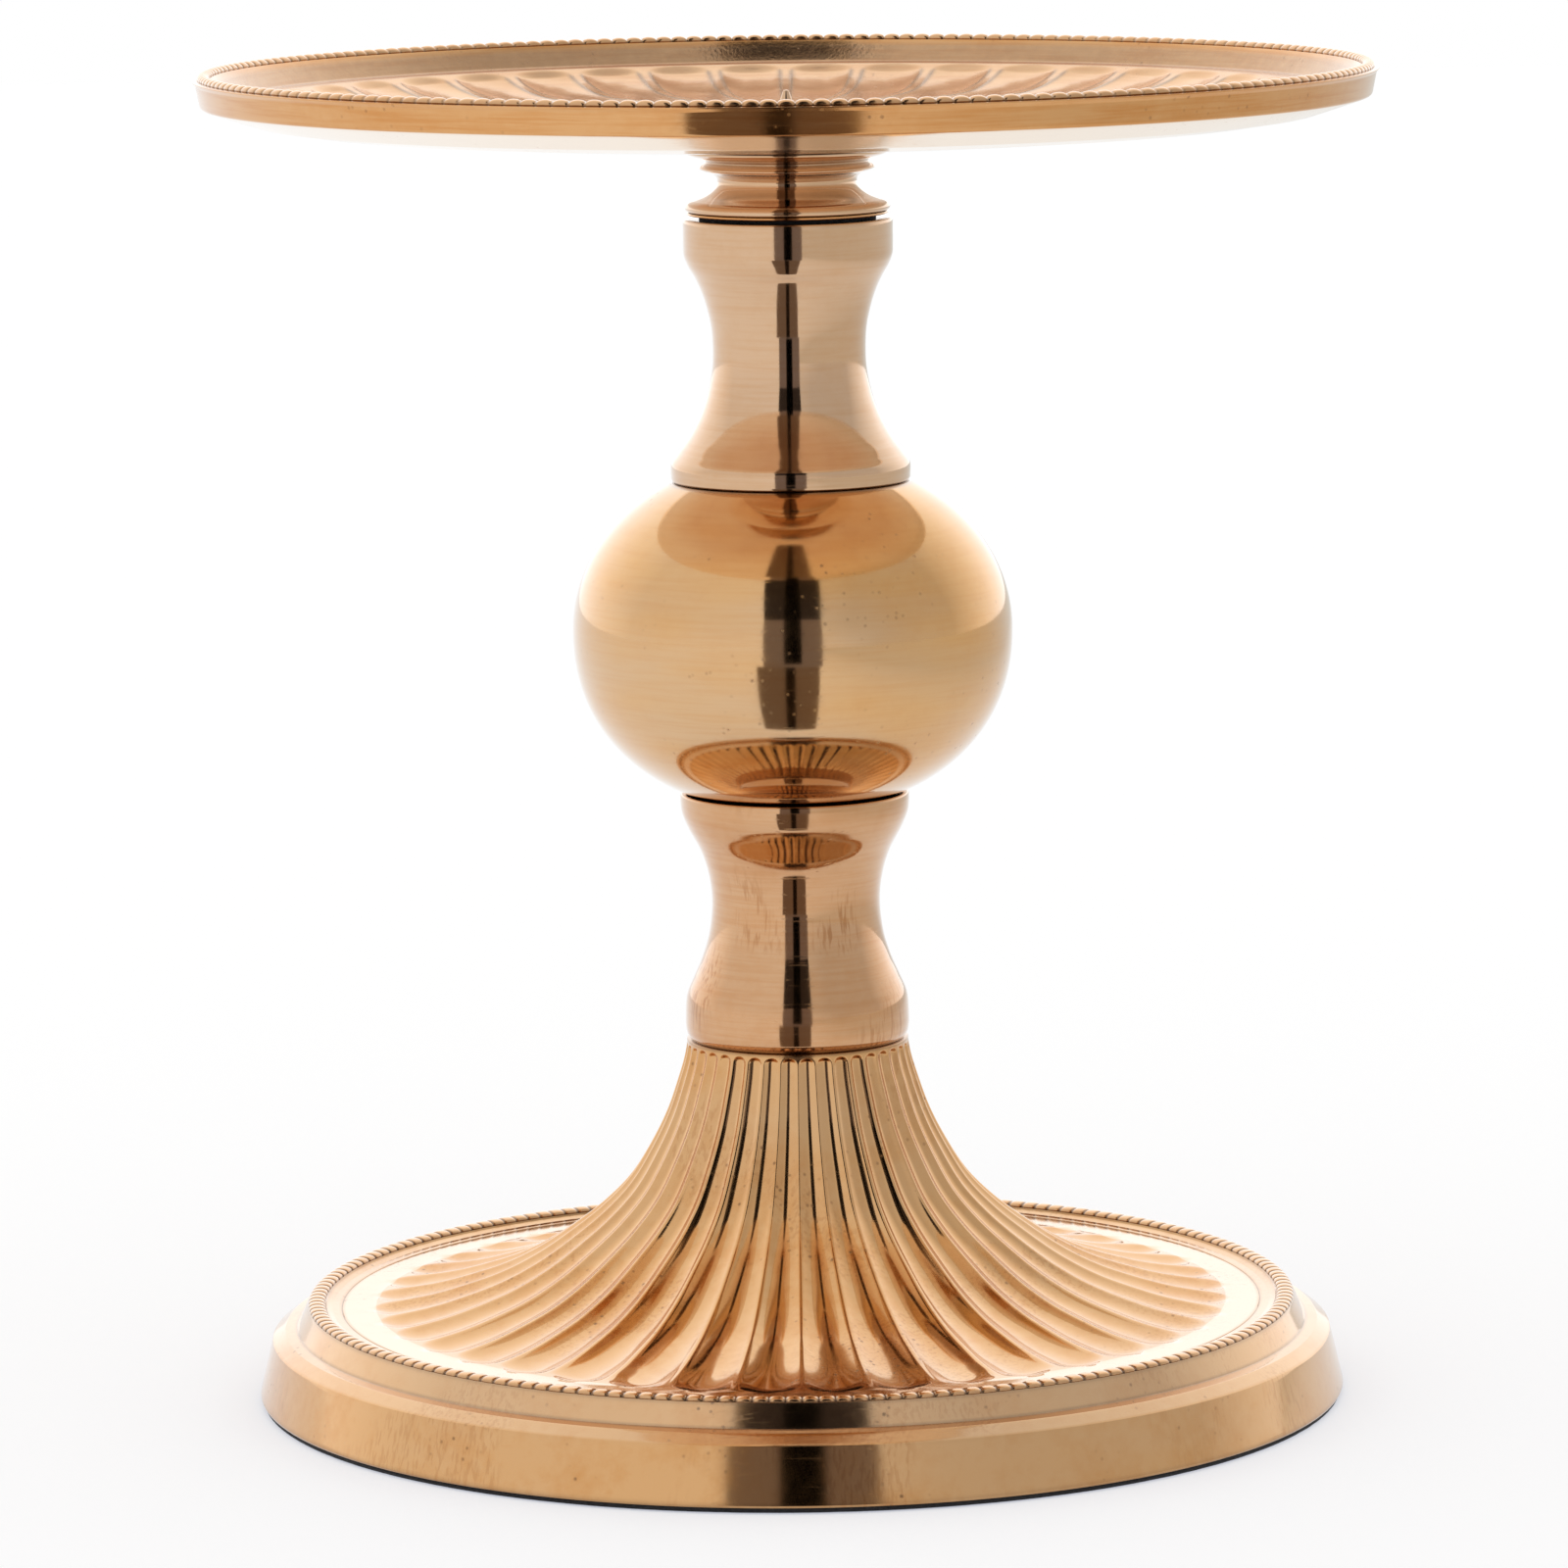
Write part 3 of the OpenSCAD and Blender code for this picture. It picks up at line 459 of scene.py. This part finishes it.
def make_foot():
    FLUTES, PER = 40, 22
    RING_Z = 15.6
    # The flutes run from END_R on the flat ring up to TOP_Z, where the bell has the radius TOP_R.
    END_R, TOP_R, TOP_Z = 73.8, 19.0, 61.0
    # Seams as (place, reach, strength), darkened with tarnishing and painted shade, and a painted highlight as
    # (from, to, share), over the outside only.
    SEAMS_Z = ((1.0, 0.5, 0.35), (61.4, 0.3, 0.5))
    SEAMS_R = ((79.12, 0.12, 0.7), (84.9, 0.2, 0.4), (81.95, 0.2, 0.5), (86.9, 0.14, 0.5))
    HIGHLIGHT_R = ((END_R - 0.5, 78.9, 0.4), (79.3, 81.7, 0.12), (84.5, 91.0, 0.12))
    border = dense(rounded([
        (90.6, 0.82, 0), (93.2, 0.82, 0.25), (93.36, 1.2, 0.2), (91.1, 10.58, 0.15), (88.9, 12.18, 0.3),
        (86.9, 12.46, 0.1), (84.9, 16.38, 0.15), (84.6, 16.39, 0.05), (82.0, 16.39, 0.05), (81.75, 16.1, 0.2),
        (80.7, 15.72, 0.8), (79.25, RING_Z, 0.1), (79.12, 15.46, 0.04), (78.98, RING_Z, 0.04),
        (END_R + 1.4, RING_Z, 0)], 4), 0.6)
    crest = spline([
        (END_R, RING_Z), (70.5, 15.85), (64.1, 16.9), (57.9, 18.6), (51.6, 20.8), (45.3, 24.0), (39.1, 28.2),
        (34, 32.2), (29.3, 37), (25.5, 43), (22.5, 49), (20.4, 55), (19.5, 58), (19.1, 60), (TOP_R, 61.4)], 14)
    bell = resample(crest, lambda r, z: 0.22 if r > 67.5 else (0.14 if z > 57.8 else 1.0))
    hollow = [(18.9, FOOT_TOP_Z), (SOCKET_R, FOOT_TOP_Z), (SOCKET_R, 57.4), (ROD_HOLE_R, 57.4), (ROD_HOLE_R, 52.0),
              (16.2, 52.0), (21.5, 44.1), (27.2, 34.6), (33.2, 27.2), (42.0, 19.1), (53.0, 14.8), (64.8, 12.6),
              (83.9, 12.6), (88.1, 9.4), (90.4, 0.82)]

    outer = np.array(border + bell)
    tangent = np.gradient(outer, axis=0)
    tangent /= np.linalg.norm(tangent, axis=1)[:, None]
    inwards = np.stack([-tangent[:, 1], tangent[:, 0]], 1)
    off = off_middle(FLUTES, PER)
    rings = Rings(FLUTES * PER)
    for k, (r, z) in enumerate(outer):
        depth = 0.0
        if k >= len(border):
            t = np.clip((r - TOP_R) / (END_R - TOP_R), 0, 1)
            _, cut, drawn_back = flute(off, 0.12 - 0.085 * t ** 0.6, 2, 0.06)
            low_end = 1 - (1 - np.clip((END_R - 4.5 * drawn_back - r) / 5, 0, 1)) ** 2
            high_end = smoothstep((TOP_Z - 0.9 * drawn_back - z) / 0.7)
            depth = (0.185 - 0.085 * t) * 2 * math.pi * r / FLUTES * cut * low_end * high_end
        seam = sum(s * near(z, at, reach) for at, reach, s in SEAMS_Z)
        seam += sum(s * near(r, at, reach) for at, reach, s in SEAMS_R)
        rings.add(r + inwards[k, 0] * depth, z + inwards[k, 1] * depth, patina=min(seam, 0.85),
                  pale=sum(p for low, high, p in HIGHLIGHT_R if low < r < high))
    # The hollow inside the foot is darker.
    for r, z in hollow:
        rings.add(r, z, patina=0.5)
    dress(rings.skin("foot_fluted"), CAST, "foot", "stand")
    wire = beads("foot_beads", mid_r=83.45, z=16.4, width=2.88, height=0.84, count=196, groove=0.5, fullness=2.6,
                 dark=1.0)
    dress(wire, BEAD, "foot_bead_ring", "stand")


# Stem: lower stem, knop, upper stem, bearing disc and collar.

def oval_line(r, low_r, low_h, high_r, high_h, mid_z, fullness, n=46):
    """The outline of the knop, whose lower half is an oval too if fullness is 2."""
    full_low = low_h / (1 - (low_r / r) ** fullness) ** (1 / fullness)
    full_high = high_h / math.sqrt(1 - (high_r / r) ** 2)
    low_end, high_end = math.acos((low_r / r) ** (fullness / 2)), math.acos(high_r / r)
    low = [(r * math.cos(a) ** (2 / fullness), mid_z - full_low * math.sin(a) ** (2 / fullness))
           for a in np.linspace(low_end, 0, n)]
    high = [(r * math.cos(a), mid_z + full_high * math.sin(a)) for a in np.linspace(0, high_end, n)]
    return low + high[1:]


def make_stem():
    # The seams of each piece darken its joints with tarnishing, and with painted shade where it meets the next
    # piece.
    lower = spline([
        (18.2, 61.52), (18.62, 61.9), (18.95, 62.5), (19.17, 63.6), (19.2, 65.2), (18.9, 69), (17.6, 72.2),
        (16.3, 75.2), (15.0, 79.5), (14.4, 85.3), (14.95, 90), (16.2, 94), (18.3, 98), (19.35, 100.6),
        (19.6, 102.7), (19.6, 103.3), (19.55, 103.8), (19.38, 104.04), (19.0, 104.1), (18.2, 103.93),
        (17.35, 103.66)], 14)
    lower += [(SPIGOT_R, 103.6), (SPIGOT_R, 107.6), (ROD_HOLE_R, 107.6), (ROD_HOLE_R, 57.5), (SPIGOT_R, 57.5),
              (SPIGOT_R, FOOT_TOP_Z)]
    dress(lathe("lower_stem_turned", dense(lower, 0.8), ((61.5, 0.35, 0.9), (103.7, 0.05, 0.1))),
          LOWER, "lower_stem", "stand")

    WIDE_Z, INNER = 132.2, 0.92
    ball = oval_line(37.5, 17.3, 28.5, 20.7, 25.2, WIDE_Z, 2.2)
    inside = [(r * INNER, WIDE_Z + (z - WIDE_Z) * INNER) for r, z in reversed(ball)][::4]
    knop = [(SOCKET_R, KNOP_LOW_Z), (17.1, KNOP_LOW_Z), *ball, (20.4, KNOP_HIGH_Z), (SOCKET_R, KNOP_HIGH_Z),
            (SOCKET_R, 155.4), *inside, (SOCKET_R, 105.9)]
    dress(lathe("knop_turned", knop, ((103.6, 0.08, 0.2), (157.5, 0.3, 0.8)), places=384),
          SPUN, "knop", "stand")

    upper = spline([
        (20.0, 157.52), (20.3, 157.8), (20.4, 158.6), (20.4, 160.2), (20.2, 160.9), (19.2, 162.3), (17.35, 164.8),
        (15.7, 167.7), (14.5, 170.6), (13.6, 173.9), (13.1, 177), (13.0, 180), (13.2, 183.5), (13.8, 186.5),
        (14.7, 189.5), (15.8, 192), (17.1, 194.3), (17.7, 195.9), (17.8, 197.6), (17.8, 200), (17.8, 201.7),
        (17.7, 202.05), (17.45, CUP_TOP_Z)], 13)
    upper += [(10.6, CUP_TOP_Z), (10.6, 197.0), (ROD_HOLE_R, 197.0), (ROD_HOLE_R, 153.5), (SPIGOT_R, 153.5),
              (SPIGOT_R, 157.5)]
    # The band at the top face (202.2) is painted shade in the gap under the bearing disc.
    dress(lathe("upper_stem_turned", dense(upper, 0.8), ((157.5, 0.28, 0.8), (202.2, 0.2, 0.4))),
          TURNED, "upper_stem", "stand")

    # The dark underside of the bearing disc is painted shade in the gap over the upper stem.
    disc = rounded([(5.06, 202.82, 0), (17.0, 202.82, 0.1), (17.18, 203.05, 0.12), (17.05, 203.28, 0.1),
                    (5.06, 203.28, 0)], 3)
    dress(lathe("bearing_disc", disc, ((202.75, 0.12, 0.9),)), SPUN, "bearing_washer", "stand")

    collar = spline([
        (16.7, COLLAR_LOW_Z), (17.05, 203.42), (17.3, 203.65), (17.42, 204.1), (17.15, 204.7), (16.5, 205.12),
        (15.5, 205.45), (14.2, 205.9), (13.5, 206.25), (12.8, 206.75), (12.2, 207.4), (11.85, 208.2),
        (11.9, 208.9), (12.4, 209.5), (13.2, 209.95), (14.4, 210.3), (14.95, 210.7), (14.6, 211.2),
        (13.9, 211.65), (13.9, 211.98), (15.0, 212.4), (16.8, 213.0), (17.4, 213.4), (17.58, COLLAR_HIGH_Z)], 7)
    collar += [(PLATE_BORE_R, COLLAR_HIGH_Z), (PLATE_BORE_R, COLLAR_LOW_Z)]
    # The band at the collar's foot is painted shade in the gap over the bearing disc; the others darken its
    # grooves and its joint with the dish with tarnishing and painted shade.
    seams = ((203.35, 0.16, 1.0), (209.6, 0.3, 0.3), (211.8, 0.22, 0.45), (213.8, 0.15, 0.8))
    dress(lathe("collar_turned", dense(collar, 1.0), seams), TURNED, "collar", "plate")


# Dish: the underside and rim from the bore outwards, then the fluted floor inwards, then the flat hub.

def make_dish():
    FLUTES, PER, RIDGE, DEPTH = 44, 34, 0.16, 0.06
    FLOOR_R, FLOOR_Z = 92.75, 223.0
    HUB_R, HUB_Z = 21.0, 218.6
    # The stippled inner wall lies inside RIM_INNER_R, and the underside ends at BAND_Z.
    RIM_INNER_R, BAND_Z = 96.8, 222.25
    # How strong the painted highlight on the underside is, from the hub outwards: a paler colour where it mirrors
    # the bright floor.
    HIGHLIGHT_AT, HIGHLIGHT_BY = (19, 29, 33, 52, 78), (0.2, 0.35, 0.5, 0.5, 0.85)
    under = dense(rounded([
        (PLATE_BORE_R, 213.82, 0), (17.55, 213.82, HAIR), (17.7, 213.9, 0.1), (19.4, 214.14, 0.4),
        (29.6, 215.72, 3.0), (50.0, 216.66, 6.0), (75.0, 217.86, 5.0), (84.0, 218.58, 3.0), (90.25, 219.52, 3.0),
        (98.75, 222.3, 0.8), (99.48, 226.1, 0.5), (99.97, 226.68, 0.15), (99.97, 226.86, 0.08),
        (99.27, 226.98, HAIR), (96.95, 226.98, 0.15), (94.3, 223.3, 0.9), (FLOOR_R, FLOOR_Z, 0)], 5), 1.5)
    ridge = np.array(spline([
        (HUB_R, HUB_Z - 0.2), (35, 218.55), (50, 218.75), (65, 218.8), (72, 218.85), (77, 219.05), (81, 219.45),
        (85, 220.2), (89, 221.35), (FLOOR_R, FLOOR_Z)], 8))
    radii = np.linspace(FLOOR_R - 0.03, HUB_R + HAIR, 160)
    floor = resample(list(zip(radii, np.interp(radii, ridge[:, 0], ridge[:, 1]))),
                     lambda r, z: 0.22 if r > 87 else (0.3 if r < 27 else 1.8))
    hub = rounded([(HUB_R, HUB_Z - 0.1, 0), (HUB_R - 0.12, HUB_Z, HAIR), (10.0, HUB_Z, 0),
                   (PLATE_BORE_R, HUB_Z, 0)], 3)

    off = off_middle(FLUTES, PER)
    rings = Rings(FLUTES * PER)
    for r, z in under:
        # Dark bands of tarnishing and painted shade at the joint with the collar, and painted shade under the bead
        # wire on the lip. The stippled inner wall is darker.
        seam = min(0.8 * near(z, 213.85, 0.15) + 0.4 * near(r, 99.3, 0.2) * near(z, 227.0, 0.2), 0.9)
        if r < RIM_INNER_R and z > FLOOR_Z + HAIR:
            rings.add(r, z, patina=max(seam, 0.4), stipple=1.0, pale=0.12)
        else:
            rings.add(r, z, patina=seam, pale=np.interp(r, HIGHLIGHT_AT, HIGHLIGHT_BY) if z < BAND_Z else 0.0)
    for r, z in floor:
        across, cut, drawn_back = flute(off, RIDGE, 2.4, 0.03)
        ends = smoothstep((FLOOR_R - 0.15 - 1.3 * drawn_back - r) / 1.5)
        ends = ends * smoothstep((r - HUB_R - 0.2 - 1.2 * drawn_back) / 2.5)
        # Painted dark lines along the flute ridges, and painted shade in the corners at the hub and at the rim.
        # The floor and hub also get a painted highlight.
        edge = 0.8 * near(across, 1.0, 0.08) * ends + 0.5 * near(r, HUB_R, 0.4) + 0.35 * near(r, FLOOR_R, 0.3)
        rings.add(r, z - DEPTH * 2 * math.pi * r / FLUTES * cut * ends, patina=np.clip(edge, 0, 0.8),
                  dull=0.3, pale=0.22)
    for r, z in hub:
        rings.add(r, z, patina=0.1, dull=0.3, pale=0.3)
    dress(rings.skin("dish_fluted"), DISH, "tray", "plate")
    wire = beads("rim_beads", mid_r=98.2, z=227.0, width=2.08, height=0.99, count=222, groove=0.42, fullness=2.0,
                 dark=0.5)
    dress(wire, BEAD, "tray_bead_ring", "plate")

    spike = rounded([
        (0.02, 206.8, 0), (2.5, 206.8, 0.1), (2.5, 218.76, 0), (8.8, 218.76, 0.1), (8.98, 218.95, 0.15),
        (8.9, 219.5, 0.3), (7.0, 219.95, 1.5), (3.2, 220.3, 1.2), (1.75, 220.75, 0.5), (1.15, 221.6, 0.8),
        (0.72, 222.9, 0.5), (0.46, 223.6, 0.1), (0.02, 223.74, 0)], 5)
    # Tarnishing and painted shade where the pricket sits on the hub, and a darker band round the waist of its
    # cone.
    seams = ((218.76, 0.15, 0.8), (220.4, 0.3, 0.3))
    dress(lathe("pricket_turned", spike, seams, places=128, loop=False),
          TURNED, "pricket", "stand")


# Felt, with an edge that is a little uneven.

def make_felt():
    PLACES, THICK, CORE_R, EDGE_R, FUZZ = 720, 0.78, 0.05, 92.0, 0.0009
    line = dense(rounded([(CORE_R, THICK, 0), (92.8, THICK, 0.15), (92.95, 0.4, 0.3), (92.8, 0.0, 0.15),
                          (CORE_R, 0.0, 0)], 3), 4.0)
    fuzz = np.random.default_rng(7).normal(0, 1, (len(line), PLACES))
    fuzz = (fuzz + np.roll(fuzz, 1, 1) + np.roll(fuzz, 2, 1)) / 3
    rings = Rings(PLACES)
    for (r, z), row in zip(line, fuzz):
        rings.add(r * (1 - np.abs(row) * FUZZ * (r > EDGE_R)), z)
    dress(rings.skin("felt_pad_soft"), FELT, "felt_pad", "stand")


make_foot()
make_stem()
make_dish()
make_felt()

# The pieces that are seen as the CAD has them.
# The black fibre of the friction washer also stands for painted shade in the gap under the bearing disc.
for node, mat in (("clamp_washer", STEEL), ("lock_washer", STEEL), ("clamp_nut", STEEL), ("tie_rod", STEEL),
                  ("stack_nut", STEEL), ("friction_washer", FIBRE_AND_GAP_SHADE), ("backing_disc", BOARD)):
    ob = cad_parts[node]
    for s in ob.material_slots:
        s.material = mat
    if not ob.material_slots:
        ob.data.materials.append(mat)


# Stage, in metres: a white floor, and dark cards that the metal mirrors.

def plane(name, corners, mat):
    me = bpy.data.meshes.new(name)
    me.from_pydata([Vector(c) for c in corners], [], [(0, 1, 2, 3)])
    ob = bpy.data.objects.new(name, me)
    bpy.context.scene.collection.objects.link(ob)
    ob.data.materials.append(mat)
    return ob


def seen_directly(nt):
    """1 for the rays of the camera and of glass, and for mirrors less towards the right."""
    path = nt.add("ShaderNodeLightPath").outputs
    mirrored = nt.times(path["Is Glossy Ray"], nt.ramp(nt.split(nt.place())[0], 0.0, 0.5, 1.0, 0.4))
    return nt.math("MAXIMUM", nt.math("MAXIMUM", path["Is Camera Ray"], path["Is Transmission Ray"]), mirrored)


def make_floor():
    HALF, Z = 4.0, -0.0002
    mt, nt = material("floor_paper", Base_Color=(0.55, 0.53, 0.46), Roughness=1.0, Specular_IOR_Level=0.0,
                      Emission_Color=(0.45, 0.47, 0.54))
    surface(nt, Emission_Strength=seen_directly(nt))
    plane("floor", [(-HALF, -HALF, Z), (HALF, -HALF, Z), (HALF, HALF, Z), (-HALF, HALF, Z)], mt)


def card(name, corners, color):
    """A card that only mirror reflections see."""
    mt, nt = material(name, Base_Color=color, Roughness=1.0, Specular_IOR_Level=0.0)
    glow = nt.add("ShaderNodeEmission")
    nt.set(glow.inputs[0], color)
    nt.set(nt.named["Material Output"].inputs[0], glow.outputs[0])
    ob = plane(name, corners, mt)
    for rays in ("camera", "diffuse", "shadow", "transmission"):
        setattr(ob, "visible_" + rays, False)


# The lying cards reach from FAR_Y to CLOSE_Y, before the foot. The upright ones stand at FAR_Y and CORE_Y.
FAR_Y, CLOSE_Y, CORE_Y = -0.62, -0.115, -0.615


def lying(z, far, close):
    """Corners of a card flat on the floor, from its far edge to its close one, each edge a range of x."""
    return [(far[0], FAR_Y, z), (far[1], FAR_Y, z), (close[1], CLOSE_Y, z), (close[0], CLOSE_Y, z)]


def standing(y, half_low, low_z, half_high, high_z):
    """Corners of an upright card with the half widths half_low and half_high."""
    return [(-half_low, y, low_z), (half_low, y, low_z), (half_high, y, high_z), (-half_high, y, high_z)]


make_floor()
card("dark_lane", lying(0.001, (-0.205, 0.149), (-0.036, 0.027)), (0.18, 0.14, 0.115))
card("lane_core", lying(0.002, (-0.042, 0.012), (-0.008, 0.003)), (0.01, 0.006, 0.004))
card("dark_gap", standing(FAR_Y, 0.165, 0.001, 0.165, 0.36), (0.21, 0.185, 0.19))
card("dark_gap_top", standing(FAR_Y, 0.165, 0.36, 0.38, 2.8), (0.035, 0.03, 0.03))
card("dark_core", standing(CORE_Y, 0.048, 0.02, 0.048, 2.8), (0.0, 0.0, 0.0))


# Light: a white room that is dimmer in front and towards the right, and plain white where it isn't mirrored.

def make_light():
    BEHIND = 1.35
    world = bpy.data.worlds.new("studio")
    bpy.context.scene.world = world
    nt = Nodes(world)
    x, y, z = nt.split(nt.place("Generated"))
    lifted = nt.ramp(z, 0.0, 0.3)
    behind = nt.ramp(y, 0.05, 0.8)
    front = nt.plus(nt.times(nt.ramp(x, -0.3, 0.5, 0.94, 0.66), lifted),
                    nt.times(nt.ramp(x, 0.0, 0.7, 1.0, 0.7), nt.one_minus(lifted)))
    level = nt.plus(nt.times(front, nt.one_minus(behind)), nt.times(behind, BEHIND))
    path = nt.add("ShaderNodeLightPath").outputs
    strength = nt.add("ShaderNodeMix", data_type="FLOAT")
    nt.set(strength.inputs[0], nt.math("MAXIMUM", path["Is Camera Ray"], path["Is Diffuse Ray"]))
    nt.set(strength.inputs[2], level)
    nt.set(strength.inputs[3], 1.0)
    nt.set(nt.named["Background"].inputs[0], (1, 1, 1))
    nt.set(nt.named["Background"].inputs[1], strength.outputs[0])


def make_camera():
    PITCH, ROLL, PAN = math.radians(8.383), math.radians(-0.721), math.radians(-0.0774)
    SENSOR_MM, FOCAL_PIXELS, FRAME_PIXELS = 36.0, 8044, 1600
    PLACE = Vector((0, -1.3339, 0.3018))
    ahead = Vector((math.sin(PAN) * math.cos(PITCH), math.cos(PAN) * math.cos(PITCH), -math.sin(PITCH)))
    right = Vector((math.cos(PAN), -math.sin(PAN), 0))
    up = right.cross(ahead)
    rolled = Matrix((right * math.cos(ROLL) + up * math.sin(ROLL),
                     up * math.cos(ROLL) - right * math.sin(ROLL), -ahead))
    cam = bpy.data.cameras.new("camera")
    cam.sensor_width = SENSOR_MM
    cam.lens = SENSOR_MM * FOCAL_PIXELS / FRAME_PIXELS
    cam.clip_start, cam.clip_end = 0.05, 50
    ob = bpy.data.objects.new("camera", cam)
    bpy.context.scene.collection.objects.link(ob)
    ob.matrix_world = Matrix.Translation(PLACE) @ rolled.transposed().to_4x4()
    bpy.context.scene.camera = ob


make_light()
make_camera()
bpy.context.scene.view_settings.view_transform = "Standard"
